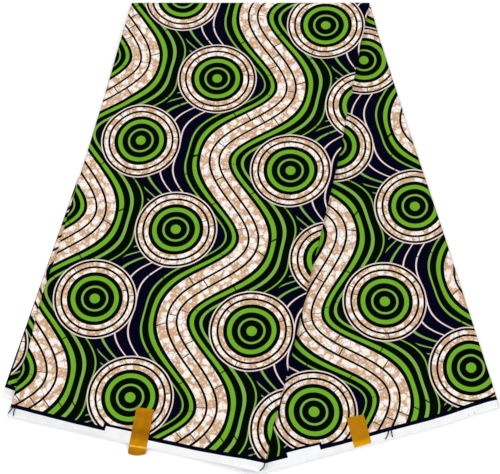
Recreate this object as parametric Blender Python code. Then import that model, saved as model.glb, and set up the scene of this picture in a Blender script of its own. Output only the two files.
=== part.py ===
"""A length of wax-print cotton, folded zigzag into a strip and laid flat in a fan.

The strip is folded once across its length at a straight top edge, a little askew. Its front
half lies over its back half, which fans out to the right. Metres, +Z up, resting on z = 0, with
the origin under the middle of the fan and +Y towards the top fold.
"""
import math

import bmesh
import bpy

mm = 0.001

# Layers
WALL = 1.0 * mm             # a modelled layer of cloth
GAP = 0.3 * mm              # clearance between pieces
SIDE_STOP = 1.5 * mm        # how far the side stretch stops short of the top fold
FOLD_HOLLOW = 0.4 * mm      # hollow inside a pressed side fold
STACK = 2.8 * mm            # the hidden layers of one half
FOLD_HEIGHT = 2 * WALL + FOLD_HOLLOW
FOLD_RETURN = 8.0 * mm      # how far a side fold turns back under its own layer
NOSE_STEPS = 5

# Heights
PANEL_RISE = GAP + WALL                     # from the hidden layers to the top of a stretch
SIDE_TOP = STACK + PANEL_RISE
OVER_BASE = SIDE_TOP + GAP                  # under the front half, where it lies over the back
TURN_HEIGHT = (STACK + OVER_BASE) / 2       # axis of the top fold
TURN_RADIUS = TURN_HEIGHT

# Strip
FOLD_WIDTH = 296.8 * mm
HALF_LENGTH = 599.0 * mm    # mean length of each half, from its selvedge to the top fold
TURN_Y = 307.3 * mm         # where the top fold starts to round down
WRAP_ANGLE = 130.0          # degrees that the front stretch follows the top fold down

# Plan corners of the two halves
FRONT = {
    "foot_left": (-277.3 * mm, -242.6 * mm),
    "foot_right": (13.5 * mm, -309.4 * mm),
    "top_left": (-154.9 * mm, TURN_Y),
    "top_right": (154.5 * mm, TURN_Y),
}
BACK = {
    "foot_left": (-1.7 * mm, -312.3 * mm),
    "foot_right": (285.0 * mm, -235.5 * mm),
    "top_left": (-152.1 * mm, TURN_Y),
    "top_right": (156.5 * mm, TURN_Y),
}

# How far the side folds stand out from straight, by the share of the way up from the foot
FRONT_LEFT_BOW = [
    # (share, out)
    (0.00, 0.0 * mm),
    (0.03, -0.9 * mm),
    (0.09, 0.6 * mm),
    (0.15, -0.7 * mm),
    (0.26, 1.9 * mm),
    (0.38, -0.4 * mm),
    (0.47, 0.4 * mm),
    (0.62, -0.1 * mm),
    (1.00, 0.0 * mm),
]
FRONT_RIGHT_BOW = [
    (0.00, 0.0 * mm),
    (0.28, 3.0 * mm),
    (0.64, 5.6 * mm),
    (0.76, 3.0 * mm),
    (0.88, 1.2 * mm),
    (1.00, 0.0 * mm),
]
BACK_LEFT_BOW = [(0.00, 0.0 * mm), (1.00, 0.0 * mm)]
BACK_RIGHT_BOW = [
    (0.00, 0.0 * mm),
    (0.38, 0.0 * mm),
    (0.68, -1.7 * mm),
    (0.90, -1.7 * mm),
    (1.00, 0.0 * mm),
]
# How far the foot stands up from straight, by the share of the way across from the left fold
FRONT_FOOT_RISE = [(0.00, 0.0 * mm), (1.00, 0.0 * mm)]
BACK_FOOT_RISE = [
    # (share, up)
    (0.00, 0.0 * mm),
    (0.76, 0.0 * mm),
    (0.93, 2.8 * mm),
    (1.00, 2.8 * mm),
]

# The front half comes down from the back half to the surface beside the back half's left fold
SLOPE_FOOT = -58.0 * mm     # where the slope meets the surface, from that fold
SLOPE_HEAD = -21.0 * mm     # where the slope ends on top

# Edges of the hidden layers, from their outer skin to their inner one
SIDE_REBATE = FOLD_RETURN + 0.5 * mm
REBATE_DEPTH = 1.4 * mm
FRONT_EDGE = [
    # (depth, inset at the sides, inset at the foot)
    (0.00 * mm, SIDE_REBATE, 2.2 * mm),
    (0.70 * mm, SIDE_REBATE, 1.3 * mm),
    (1.35 * mm, SIDE_REBATE, 2.2 * mm),
    (1.40 * mm, 1.6 * mm, 1.8 * mm),
    (1.55 * mm, 0.9 * mm, 0.8 * mm),
    (1.95 * mm, 0.9 * mm, 0.8 * mm),
    (2.10 * mm, 1.8 * mm, 2.0 * mm),
    (2.25 * mm, 0.6 * mm, 1.4 * mm),
    (2.65 * mm, 0.6 * mm, 1.4 * mm),
    (2.80 * mm, 1.4 * mm, 2.2 * mm),
]
BACK_EDGE = [
    (0.00 * mm, 1.4 * mm, 2.2 * mm),
    (0.15 * mm, 0.6 * mm, 1.4 * mm),
    (0.55 * mm, 0.6 * mm, 1.4 * mm),
    (0.70 * mm, 1.8 * mm, 2.0 * mm),
    (0.85 * mm, 0.9 * mm, 0.8 * mm),
    (1.25 * mm, 0.9 * mm, 0.8 * mm),
    (1.40 * mm, 1.6 * mm, 1.8 * mm),
    (1.45 * mm, SIDE_REBATE, 2.2 * mm),
    (2.10 * mm, SIDE_REBATE, 1.3 * mm),
    (2.80 * mm, SIDE_REBATE, 2.2 * mm),
]

# The lower leaf at the left
LEAF_THICK = STACK - REBATE_DEPTH - GAP
LEAF_FOOT = (-286.4 * mm, -219.3 * mm)      # outer corner of its selvedge
LEAF_HEAD = (-211.8 * mm, 63.2 * mm)        # where its fold goes in under the front half
LEAF_TUCK = 20.0 * mm                       # how far it reaches in from the front half's fold
LEAF_FOOT_FALL = 22.0                       # degrees its foot falls to the right
LEAF_ROOM = 22.0 * mm                       # inset of the hidden layers beside it
LEAF_ROOM_END = 0.60                        # share of the front half that has this room
LEAF_ROWS = 10
LEAF_EDGE = [
    # (height, inset)
    (0.00 * mm, 0.9 * mm),
    (0.12 * mm, 0.3 * mm),
    (0.40 * mm, 0.3 * mm),
    (0.52 * mm, 1.0 * mm),
    (0.64 * mm, 0.0 * mm),
    (0.96 * mm, 0.0 * mm),
    (LEAF_THICK, 0.6 * mm),
]

# Foil labels, by the middle of their top edge and the way they point, in degrees right of -Y
LABEL_THICK = 0.5 * mm
LEFT_LABEL = {"top": (-120.1 * mm, -233.6 * mm), "turn": -9.0, "width": 20.1 * mm,
              "length": 44.6 * mm, "flap": 8.0 * mm, "drop": 3.5 * mm}
RIGHT_LABEL = {"top": (119.1 * mm, -242.9 * mm), "turn": 13.0, "width": 20.2 * mm,
               "length": 34.6 * mm, "flap": 0.0, "drop": 0.0}
LABEL_ROWS = 6
LABEL_LIP = 0.6 * mm        # flat overhang before the flap bends down

# Grid
COLUMNS = 16
HALF_ROWS = 24
BACK_ROWS = 8
TURN_STEPS = 8

PRINT = {"name": "printed_cotton", "colour": (0.12, 0.26, 0.05), "roughness": 0.62}
LAYERS = {"name": "cotton_layers", "colour": (0.46, 0.42, 0.33), "roughness": 0.75}
FOIL = {"name": "gold_foil", "colour": (0.52, 0.26, 0.01), "roughness": 0.35}


def lerp(low, high, share):
    return low + (high - low) * share


def smoothstep(low, high, value):
    share = min(1.0, max(0.0, (value - low) / (high - low)))
    return share * share * (3.0 - 2.0 * share)


def read_table(rows, share):
    """The table's value at a share, rounded between its rows."""
    for (low, start), (high, end) in zip(rows, rows[1:]):
        if share <= high:
            return lerp(start, end, smoothstep(low, high, share))
    return rows[-1][1]


def half_plan(corners, left_bow, right_bow, foot_rise, across, share):
    """Plan point of a half, by the distance from its left fold and the share up from its foot."""
    side = across / FOLD_WIDTH
    foot = [lerp(p, q, side) for p, q in zip(corners["foot_left"], corners["foot_right"])]
    top = [lerp(p, q, side) for p, q in zip(corners["top_left"], corners["top_right"])]
    out = lerp(-read_table(left_bow, share), read_table(right_bow, share), side)
    return lerp(foot[0], top[0], share) + out, lerp(foot[1] + read_table(foot_rise, side), top[1], share)


def front_plan(across, share):
    return half_plan(FRONT, FRONT_LEFT_BOW, FRONT_RIGHT_BOW, FRONT_FOOT_RISE, across, share)


def back_plan(across, share):
    return half_plan(BACK, BACK_LEFT_BOW, BACK_RIGHT_BOW, BACK_FOOT_RISE, across, share)


def back_left_x(y):
    """x of the back half's left fold at this y."""
    foot, top = BACK["foot_left"], BACK["top_left"]
    return lerp(foot[0], top[0], (y - foot[1]) / (top[1] - foot[1]))


def front_base(x, y):
    """Height of the front half's underside: on the surface, or over the back half."""
    return OVER_BASE * smoothstep(SLOPE_FOOT, SLOPE_HEAD, x - back_left_x(y))


def strip_point(across, station, depth):
    """A point of the folded strip.

    station runs 0 to 1 up the front half, 1 to 2 round the top fold and 2 to 3 down the back
    half. depth is measured inwards from the outer skin of the hidden layers, which is on top
    of the front half and under the back half.
    """
    if station <= 1.0:
        x, y = front_plan(across, station)
        return x, y, front_base(x, y) + STACK - depth
    if station >= 2.0:
        x, y = back_plan(across, 3.0 - station)
        return x, y, depth
    turned = station - 1.0
    front_x, _ = front_plan(across, 1.0)
    back_x, _ = back_plan(across, 1.0)
    radius = TURN_RADIUS - depth
    return (
        lerp(front_x, back_x, turned),
        TURN_Y + radius * math.sin(math.pi * turned),
        TURN_HEIGHT + radius * math.cos(math.pi * turned),
    )


def spread(first, last, steps):
    return [lerp(first, last, i / steps) for i in range(steps + 1)]


def inner_columns():
    """Distances across the strip that every layer shares, so that layers stay parallel."""
    return spread(SIDE_REBATE, FOLD_WIDTH - SIDE_REBATE, COLUMNS)


def front_stations():
    return spread(0.0, 1.0, HALF_ROWS)


def turn_stations():
    return spread(1.0, 2.0, TURN_STEPS)


def back_stations():
    return spread(2.0, 3.0, BACK_ROWS)


def new_material(look):
    material = bpy.data.materials.new(look["name"])
    material.use_nodes = True
    shader = material.node_tree.nodes["Principled BSDF"]
    shader.inputs["Base Color"].default_value = (*look["colour"], 1.0)
    shader.inputs["Roughness"].default_value = look["roughness"]
    shader.inputs["Metallic"].default_value = look.get("metallic", 0.0)
    return material


def new_piece(name, points, faces, look):
    """One closed body of these points and faces, turned to face out."""
    mesh = bpy.data.meshes.new(name)
    mesh.from_pydata(points, [], faces)
    shape = bmesh.new()
    shape.from_mesh(mesh)
    bmesh.ops.recalc_face_normals(shape, faces=shape.faces)
    shape.to_mesh(mesh)
    shape.free()
    mesh.materials.append(new_material(look))
    mesh.shade_smooth()
    mesh.set_sharp_from_angle(angle=math.radians(35))
    piece = bpy.data.objects.new(name, mesh)
    bpy.context.scene.collection.objects.link(piece)
    return piece


def fold_section(columns):
    """Section of a stretch with both side folds, as matching outer and inner paths.

    Each point is (across, depth below the top of the stretch).
    """
    outer_radius = FOLD_HEIGHT / 2
    inner_radius = outer_radius - WALL
    left = [((FOLD_RETURN, FOLD_HEIGHT), (FOLD_RETURN, FOLD_HEIGHT - WALL))]
    for i in range(NOSE_STEPS + 1):
        angle = math.pi * i / NOSE_STEPS
        pair = [
            (outer_radius - r * math.sin(angle), outer_radius + r * math.cos(angle))
            for r in (outer_radius, inner_radius)
        ]
        left.append(tuple(pair))
    top = [((a, 0.0), (a, WALL)) for a in columns]
    right = [
        tuple((FOLD_WIDTH - a, depth) for a, depth in pair)
        for pair in reversed(left)
    ]
    return left + top + right


def folded_stretch(name, stations, place, look):
    """A wall through one section for each station, closed at both ends."""
    section = fold_section(inner_columns())
    count = len(section)
    points, faces = [], []
    for station in stations:
        points += [place(a, station, depth) for (a, depth), _ in section]
        points += [place(a, station, depth) for _, (a, depth) in section]

    def index(row, side, i):
        return row * 2 * count + side * count + i

    last = len(stations) - 1
    for row in range(last):
        for i in range(count - 1):
            for side in (0, 1):
                faces.append((index(row, side, i), index(row, side, i + 1),
                              index(row + 1, side, i + 1), index(row + 1, side, i)))
        for i in (0, count - 1):
            faces.append((index(row, 0, i), index(row + 1, 0, i),
                          index(row + 1, 1, i), index(row, 1, i)))
    for row in (0, last):
        for i in range(count - 1):
            faces.append((index(row, 0, i), index(row, 0, i + 1),
                          index(row, 1, i + 1), index(row, 1, i)))
    return new_piece(name, points, faces, look)


def skin_box(name, across, along, levels, position, look):
    """A closed body like a box's six sides, with position(i, j, k) giving each point."""
    index, points, faces = {}, [], []

    def at(i, j, k):
        if (i, j, k) not in index:
            index[i, j, k] = len(points)
            points.append(position(i, j, k))
        return index[i, j, k]

    for i in range(across):
        for j in range(along):
            for k in (0, levels):
                faces.append((at(i, j, k), at(i + 1, j, k), at(i + 1, j + 1, k), at(i, j + 1, k)))
    for k in range(levels):
        for i in range(across):
            for j in (0, along):
                faces.append((at(i, j, k), at(i + 1, j, k), at(i + 1, j, k + 1), at(i, j, k + 1)))
        for j in range(along):
            for i in (0, across):
                faces.append((at(i, j, k), at(i, j + 1, k), at(i, j + 1, k + 1), at(i, j, k + 1)))
    return new_piece(name, points, faces, look)


def make_front_panel():
    """Top layer of the front half, rolled round its sides and down round the top fold."""
    wrapped = spread(1.0, 1.0 + WRAP_ANGLE / 180.0, TURN_STEPS)
    stations = front_stations() + wrapped[1:]

    def place(across, station, depth):
        return strip_point(across, station, depth - PANEL_RISE)

    return folded_stretch("front_panel", stations, place, PRINT)


def make_side_panel():
    """Top layer of the back half, rolled round its sides, ending inside the top fold."""
    stations = back_stations()
    stations[0] += SIDE_STOP / HALF_LENGTH

    def place(across, station, depth):
        return strip_point(across, station, STACK + PANEL_RISE - depth)

    return folded_stretch("side_panel", stations, place, PRINT)


def make_hidden_layers():
    """Every layer that does not show, as one rounded strip folded over with the rest."""
    columns = inner_columns()
    stations = front_stations() + turn_stations()[1:] + back_stations()[1:]
    last_column, last_station = len(columns) - 1, len(stations) - 1
    unroll = WRAP_ANGLE / 180.0

    def edge(level, station):
        """(depth, side inset) of an edge level, passing from the front table to the back one."""
        passed = smoothstep(1.0 + unroll, 2.0, station)
        return [lerp(p, q, passed) for p, q in zip(FRONT_EDGE[level], BACK_EDGE[level])][:2]

    def position(i, j, k):
        station = stations[j]
        if j == 0:
            station = FRONT_EDGE[k][2] / HALF_LENGTH
        elif j == last_station:
            station = 3.0 - BACK_EDGE[k][2] / HALF_LENGTH
        depth, inset = edge(k, station)
        across = columns[i]
        if i == 0:
            beside_leaf = station < LEAF_ROOM_END and k > 2
            across = inset + LEAF_ROOM if beside_leaf else inset
        elif i == last_column:
            across = FOLD_WIDTH - inset
        return strip_point(across, station, depth)

    levels = len(FRONT_EDGE) - 1
    return skin_box("hidden_layers", last_column, last_station, levels, position, LAYERS)


def make_under_leaf():
    """The lower leaf at the left, a narrow wedge that lies on the surface."""
    run = [q - p for p, q in zip(LEAF_FOOT, LEAF_HEAD)]
    length = math.hypot(*run)
    up = [d / length for d in run]
    fall = math.radians(LEAF_FOOT_FALL)

    def inner_edge(share):
        """Where the leaf ends under the front half, level with this share of its own fold."""
        y = lerp(LEAF_FOOT[1], LEAF_HEAD[1], share)
        foot_y, top_y = FRONT["foot_left"][1], FRONT["top_left"][1]
        x, _ = front_plan(LEAF_TUCK, (y - foot_y) / (top_y - foot_y))
        return x

    def position(i, j, k):
        height, inset = LEAF_EDGE[k]
        share = j / LEAF_ROWS
        if j == 0:
            share = inset / length
        elif j == LEAF_ROWS:
            share = 1.0 - inset / length
        x = LEAF_FOOT[0] + up[0] * length * share
        y = LEAF_FOOT[1] + up[1] * length * share
        width = inner_edge(share) - x
        across = (inset, width / 2, width - inset)[i]
        return x + across, y - across * math.tan(fall), height

    return skin_box("under_leaf", 2, LEAF_ROWS, len(LEAF_EDGE) - 1, position, PRINT)


def make_label(name, label, surface):
    """A foil strip made from the points of the cloth it lies on, moved out by the gap."""
    turn = math.radians(label["turn"])
    down = (math.sin(turn), -math.cos(turn))
    side = (math.cos(turn), math.sin(turn))
    flat = spread(0.0, label["length"], LABEL_ROWS)
    runs = [(run, 0.0) for run in flat]
    if label["flap"]:
        bend = label["length"] + LABEL_LIP
        runs += [(bend, 0.0), (bend + label["flap"] / 2, label["drop"] * 0.45),
                 (bend + label["flap"], label["drop"])]

    def position(i, j, k):
        run, drop = runs[j]
        out = (i - 1) * label["width"] / 2
        x = label["top"][0] + down[0] * run + side[0] * out
        y = label["top"][1] + down[1] * run + side[1] * out
        return x, y, surface(x, y) + GAP + k * LABEL_THICK - drop

    return skin_box(name, 2, len(runs) - 1, 1, position, FOIL)


def front_top(x, y):
    return front_base(x, y) + STACK + PANEL_RISE


def side_top(_x, _y):
    return SIDE_TOP


def main():
    for old in list(bpy.data.objects):
        bpy.data.objects.remove(old, do_unlink=True)
    make_hidden_layers()
    make_side_panel()
    make_under_leaf()
    make_front_panel()
    make_label("gold_label_left", LEFT_LABEL, front_top)
    make_label("gold_label_right", RIGHT_LABEL, side_top)


main()
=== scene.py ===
"""Looks for the folded wax-print cotton: thin printed layers, gold labels and loose threads.

Metres, +Z up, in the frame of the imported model. The cloth rests on z = 0.
"""
import math

import bpy
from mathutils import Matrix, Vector, noise


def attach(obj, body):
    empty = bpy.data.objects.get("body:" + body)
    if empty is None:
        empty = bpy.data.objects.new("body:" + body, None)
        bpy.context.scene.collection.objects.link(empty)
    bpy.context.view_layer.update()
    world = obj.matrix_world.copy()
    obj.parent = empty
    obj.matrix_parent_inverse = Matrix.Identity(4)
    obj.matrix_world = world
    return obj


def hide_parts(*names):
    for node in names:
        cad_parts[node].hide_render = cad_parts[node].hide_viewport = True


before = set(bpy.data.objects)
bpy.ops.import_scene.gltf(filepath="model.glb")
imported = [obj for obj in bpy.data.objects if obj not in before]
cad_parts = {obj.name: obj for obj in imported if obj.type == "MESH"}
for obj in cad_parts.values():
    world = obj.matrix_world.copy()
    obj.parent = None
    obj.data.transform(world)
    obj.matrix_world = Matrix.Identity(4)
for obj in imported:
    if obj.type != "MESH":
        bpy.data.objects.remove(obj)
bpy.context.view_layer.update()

mm = 0.001
BODY = "root"

# Sizes shared with the solids

WALL = 1.0 * mm
GAP = 0.3 * mm
SIDE_STOP = 1.5 * mm                        # how far the side stretch stops short of the top fold
STACK = 2.8 * mm                            # the hidden layers of one half
PANEL_RISE = GAP + WALL                     # from the hidden layers to the top of a stretch
SIDE_TOP = STACK + PANEL_RISE
OVER_BASE = SIDE_TOP + GAP                  # under the front half, where it lies over the back
TURN_HEIGHT = (STACK + OVER_BASE) / 2       # axis of the top fold
TURN_RADIUS = TURN_HEIGHT
FOLD_WIDTH = 296.8 * mm
HALF_LENGTH = 599.0 * mm
TURN_Y = 307.3 * mm

FRONT = {
    "foot_left": (-277.3 * mm, -242.6 * mm),
    "foot_right": (13.5 * mm, -309.4 * mm),
    "top_left": (-154.9 * mm, TURN_Y),
    "top_right": (154.5 * mm, TURN_Y),
}
BACK = {
    "foot_left": (-1.7 * mm, -312.3 * mm),
    "foot_right": (285.0 * mm, -235.5 * mm),
    "top_left": (-152.1 * mm, TURN_Y),
    "top_right": (156.5 * mm, TURN_Y),
}
# How far the side folds stand out from straight, by the share of the way up from the foot
FRONT_LEFT_BOW = [
    # (share, out)
    (0.00, 0.0 * mm),
    (0.03, -0.9 * mm),
    (0.09, 0.6 * mm),
    (0.15, -0.7 * mm),
    (0.26, 1.9 * mm),
    (0.38, -0.4 * mm),
    (0.47, 0.4 * mm),
    (0.62, -0.1 * mm),
    (1.00, 0.0 * mm),
]
FRONT_RIGHT_BOW = [
    (0.00, 0.0 * mm),
    (0.28, 3.0 * mm),
    (0.64, 5.6 * mm),
    (0.76, 3.0 * mm),
    (0.88, 1.2 * mm),
    (1.00, 0.0 * mm),
]
BACK_LEFT_BOW = [(0.00, 0.0 * mm), (1.00, 0.0 * mm)]
BACK_RIGHT_BOW = [
    (0.00, 0.0 * mm),
    (0.38, 0.0 * mm),
    (0.68, -1.7 * mm),
    (0.90, -1.7 * mm),
    (1.00, 0.0 * mm),
]
# How far the foot stands up from straight, by the share of the way across from the left fold
FRONT_FOOT_RISE = [(0.00, 0.0 * mm), (1.00, 0.0 * mm)]
BACK_FOOT_RISE = [
    # (share, up)
    (0.00, 0.0 * mm),
    (0.76, 0.0 * mm),
    (0.93, 2.8 * mm),
    (1.00, 2.8 * mm),
]
SLOPE_FOOT = -58.0 * mm                     # where the front half starts to climb, from the back's left fold
SLOPE_HEAD = -21.0 * mm
LEAF_FOOT = (-286.4 * mm, -219.3 * mm)
LEAF_HEAD = (-211.8 * mm, 63.2 * mm)
LEAF_TUCK = 20.0 * mm                       # how far the leaf reaches in under the front half
LEAF_FOOT_FALL = 22.0                       # degrees that its foot falls to the right
LEAF_ROOM = 22.0 * mm                       # how far the hidden layers beside it stop short of the left fold
LEAF_ROOM_HEAD = 0.60                       # share of the front half up to which they do
LABEL_LIP = 0.6 * mm                        # flat run beyond the foot before a label's flap bends down
LEFT_LABEL = {"top": (-120.1 * mm, -233.6 * mm), "turn": -9.0, "width": 20.1 * mm,
              "length": 44.6 * mm, "flap": 8.0 * mm, "drop": 3.5 * mm,
              "cut": (0.5 * mm, 1.3 * mm, -2.0 * mm)}   # how much longer at the left, middle and right
RIGHT_LABEL = {"top": (119.1 * mm, -242.9 * mm), "turn": 13.0, "width": 20.2 * mm,
               "length": 34.6 * mm, "flap": 0.0, "drop": 0.0,
               "cut": (1.0 * mm, 0.4 * mm, -0.3 * mm)}

# Sizes of the finer layers

COTTON = 0.34 * mm          # wall of a printed layer
FOLD_NOSE = 0.90 * mm       # height of a pressed side fold
RETURN = 9.0 * mm           # how far it turns back
WRAP_ANGLE = 140.0          # degrees that the front cloth follows the top fold down
WRAP_DRAW = 0.25 * mm       # how far it is drawn in towards the hidden layers at its end
WRAP_DRAW_START = 60.0      # degrees from which it is drawn in
PLY = 0.41 * mm             # a folded pair of hidden layers
PLY_PITCH = 0.45 * mm
PLY_LIFT = 0.35 * mm        # how much higher the pairs lie in the front half
PLY_WANDER = 0.5 * mm       # how far a pair's fold wanders to each side at most
WANDER_SWINGS = 7.0         # its swings in a half
WANDER_SHIFT = 3.1          # how far apart in the noise one pair is from the next
SHORT_PAIRS = (4, 5, 6)     # the pairs that leave room for the lower leaf
LEAF_ROOM_SPAN = 60.0 * mm  # the width that they are drawn together in
LEAF_ROOM_FOOT = 0.01       # share of the front half from which they are
SINGLE = 0.30 * mm          # a single hidden layer
SINGLE_GAP = 0.05 * mm
SINGLE_INSET = 0.6 * mm     # how far it stops short of the foot and of the turned-back edges
SINGLE_END = 0.99           # share of the back half that its single layer covers
LEAF_PLY = 0.50 * mm        # a folded pair of the lower leaf
LEAF_GAP = 0.06 * mm
CREASE_END = 0.96           # share of the front half from where creases fade to the top fold
OPEN_SPAN = 30.0 * mm       # width beside the front half in which the side stretch's creases set in

# Steps of the meshes

SECTION_INSET = 3.0 * mm    # from a stretch's side to the first step across it
SECTION_STEPS = 74
NOSE_STEPS = 8              # round a side fold
ROWS_UP = 150               # up a stretch
ROWS_ROUND = 20             # round the top fold
PLY_INSET = 8.0 * mm        # the same for a hidden layer
PLY_STEPS = 34
PLY_ROWS_UP = 48
PLY_ROWS_ROUND = 14
LEAF_STEPS = [0.0, 0.15, 0.4, 0.7, 1.0]
LEAF_ROWS_UP = 60
LABEL_STEPS = 14
LABEL_ROWS = 48

# How much higher than its usual place the border is drawn, by the share of the way across
FRONT_BORDER_RISE = [
    # (share, up)
    (0.00, 1.4 * mm),
    (0.05, 1.4 * mm),
    (0.10, 0.7 * mm),
    (0.19, 0.0 * mm),
    (0.26, -0.5 * mm),
    (0.38, -0.8 * mm),
    (0.57, -0.4 * mm),
    (0.67, 0.0 * mm),
    (0.82, 0.2 * mm),
    (0.95, 2.2 * mm),
    (1.00, 2.3 * mm),
]
SIDE_BORDER_RISE = [
    (0.00, 0.6 * mm),
    (0.10, 0.5 * mm),
    (0.18, 0.3 * mm),
    (0.36, -0.8 * mm),
    (0.42, -0.7 * mm),
    (0.55, 0.0 * mm),
    (0.72, 0.0 * mm),
    (0.76, 0.4 * mm),
    (0.92, 0.3 * mm),
    (0.96, 0.9 * mm),
    (1.00, 0.6 * mm),
]
LEAF_BORDER_RISE = 3.5 * mm
# How far the fold of the leaf's upper pair is set back from the lower pair's, up from its foot
LEAF_SET_BACK = [
    (0.00, 2.2 * mm),
    (0.17, 1.9 * mm),
    (0.27, 1.2 * mm),
    (0.50, 0.6 * mm),
    (1.00, 0.5 * mm),
]

# Folded pairs of hidden layers, from the outer skin inwards
PLIES = [
    # (side inset, foot inset at the front, foot inset at the back, print's start along the cloth)
    (0.7 * mm, 1.4 * mm, 2.0 * mm, 0.62),
    (1.9 * mm, 0.4 * mm, 1.2 * mm, 1.24),
    (0.3 * mm, 1.9 * mm, 2.3 * mm, 1.83),
    (1.3 * mm, 0.9 * mm, 0.3 * mm, 2.40),
    (0.5 * mm, 2.2 * mm, 1.6 * mm, 3.02),
    (1.6 * mm, 1.1 * mm, 0.7 * mm, 3.57),
    (0.8 * mm, 1.7 * mm, 1.9 * mm, 4.18),
]

# Soft ridges left by pressing, in plan
CREASES = [
    # (x, y, degrees right of +Y, length, width, rise)
    (-132 * mm, 20 * mm, 12.5, 470 * mm, 13 * mm, 0.35 * mm),
    (-8 * mm, -30 * mm, 12.8, 520 * mm, 16 * mm, 0.30 * mm),
    (-208 * mm, -96 * mm, 38.0, 64 * mm, 9 * mm, 0.42 * mm),
    (-196 * mm, -20 * mm, 30.0, 50 * mm, 8 * mm, 0.36 * mm),
    (88 * mm, 96 * mm, -24.0, 76 * mm, 11 * mm, 0.34 * mm),
    (-60 * mm, 205 * mm, 84.0, 120 * mm, 15 * mm, 0.22 * mm),
    (-70 * mm, -205 * mm, -68.0, 150 * mm, 18 * mm, 0.26 * mm),
    (150 * mm, -60 * mm, -13.5, 400 * mm, 14 * mm, 0.30 * mm),
    (206 * mm, -150 * mm, -52.0, 70 * mm, 10 * mm, 0.34 * mm),
    (96 * mm, -228 * mm, 70.0, 90 * mm, 14 * mm, 0.24 * mm),
]
# Slight unevenness of cloth that was laid by hand
UNEVEN = 0.12 * mm
DRIFTS = [
    # (swings a metre along x, swings a metre along y, place in the noise, share)
    (9.0, 7.0, 0.4, 1.0),
    (26.0, 21.0, 2.7, 0.5),
]


def lerp(low, high, share):
    return low + (high - low) * share


def smoothstep(low, high, value):
    share = min(1.0, max(0.0, (value - low) / (high - low)))
    return share * share * (3.0 - 2.0 * share)


def spread(first, last, steps):
    return [lerp(first, last, i / steps) for i in range(steps + 1)]


def read_table(rows, share):
    """The table's value at a share, rounded between its rows."""
    for (low, start), (high, end) in zip(rows, rows[1:]):
        if share <= high:
            return lerp(start, end, smoothstep(low, high, share))
    return rows[-1][1]


def half_plan(corners, left_bow, right_bow, foot_rise, across, share):
    """Plan point of a half, by the distance from its left fold and the share up from its foot."""
    side = across / FOLD_WIDTH
    foot = [lerp(p, q, side) for p, q in zip(corners["foot_left"], corners["foot_right"])]
    top = [lerp(p, q, side) for p, q in zip(corners["top_left"], corners["top_right"])]
    out = lerp(-read_table(left_bow, share), read_table(right_bow, share), side)
    return lerp(foot[0], top[0], share) + out, lerp(foot[1] + read_table(foot_rise, side), top[1], share)


def front_plan(across, share):
    return half_plan(FRONT, FRONT_LEFT_BOW, FRONT_RIGHT_BOW, FRONT_FOOT_RISE, across, share)


def back_plan(across, share):
    return half_plan(BACK, BACK_LEFT_BOW, BACK_RIGHT_BOW, BACK_FOOT_RISE, across, share)


def back_left_x(y):
    """x of the back half's left fold at this y."""
    foot, top = BACK["foot_left"], BACK["top_left"]
    return lerp(foot[0], top[0], (y - foot[1]) / (top[1] - foot[1]))


def front_base(x, y):
    """Height of the front half's underside: on the surface, or over the back half."""
    return OVER_BASE * smoothstep(SLOPE_FOOT, SLOPE_HEAD, x - back_left_x(y))


def strip_point(across, station, depth):
    """A point of the folded strip.

    station runs 0 to 1 up the front half, 1 to 2 round the top fold and 2 to 3 down the back
    half. depth is measured inwards from the outer skin of the hidden layers.
    """
    if station <= 1.0:
        x, y = front_plan(across, station)
        return Vector((x, y, front_base(x, y) + STACK - depth))
    if station >= 2.0:
        x, y = back_plan(across, 3.0 - station)
        return Vector((x, y, depth))
    turned = station - 1.0
    radius = TURN_RADIUS - depth
    return Vector((
        lerp(front_plan(across, 1.0)[0], back_plan(across, 1.0)[0], turned),
        TURN_Y + radius * math.sin(math.pi * turned),
        TURN_HEIGHT + radius * math.cos(math.pi * turned),
    ))


def relief(x, y):
    """Height of the pressed creases and of the slight unevenness of cloth that was laid by hand."""
    height = 0.0
    for at_x, at_y, turn, length, width, rise in CREASES:
        angle = math.radians(turn)
        along = (x - at_x) * math.sin(angle) + (y - at_y) * math.cos(angle)
        across = (x - at_x) * math.cos(angle) - (y - at_y) * math.sin(angle)
        ends = smoothstep(length / 2, length / 4, abs(along))
        height += rise * ends * math.exp(-((across / width) ** 2) * 2.0)
    drift = sum(share * noise.noise(Vector((x * sway_x, y * sway_y, start)))
                for sway_x, sway_y, start, share in DRIFTS)
    return height + UNEVEN * max(0.0, 1.0 + drift)


# Meshes

UV_NAME = "flat_cloth"
SHADE_NAME = "fold_shade"


def flat_place(corners, point, shift):
    """Where a plan point lies on the flat cloth: (along the selvedge, up from it)."""
    left, right = (Vector(corners[c]).to_2d() for c in ("foot_left", "foot_right"))
    along = (right - left).normalized()
    up = Vector((-along.y, along.x))
    run = Vector(point).to_2d() - left
    return run.dot(along) + shift, run.dot(up)


def front_place(point, across, overrun):
    """Place on the flat cloth of a point of the front stretch."""
    u, v = flat_place(FRONT, point, overrun)
    return u, v - read_table(FRONT_BORDER_RISE, across / FOLD_WIDTH)


def side_place(point, across, overrun, share):
    """Place on the flat cloth of a point of the side stretch, whose foot is drawn up at its right end."""
    side = across / FOLD_WIDTH
    drawn_up = read_table(BACK_FOOT_RISE, side) * (1.0 - share)
    u, v = flat_place(BACK, point, SIDE_START + overrun)
    return u, v - drawn_up - read_table(SIDE_BORDER_RISE, side)


def new_mesh_piece(name, points, faces, places, finish):
    """A piece of these points and faces, with each point's place on the flat cloth as its UV."""
    mesh = bpy.data.meshes.new(name)
    mesh.from_pydata(points, [], faces)
    layer = mesh.uv_layers.new(name=UV_NAME)
    for loop in mesh.loops:
        layer.data[loop.index].uv = places[loop.vertex_index]
    mesh.materials.append(finish)
    mesh.shade_smooth()
    piece = bpy.data.objects.new(name, mesh)
    bpy.context.scene.collection.objects.link(piece)
    return piece


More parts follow.
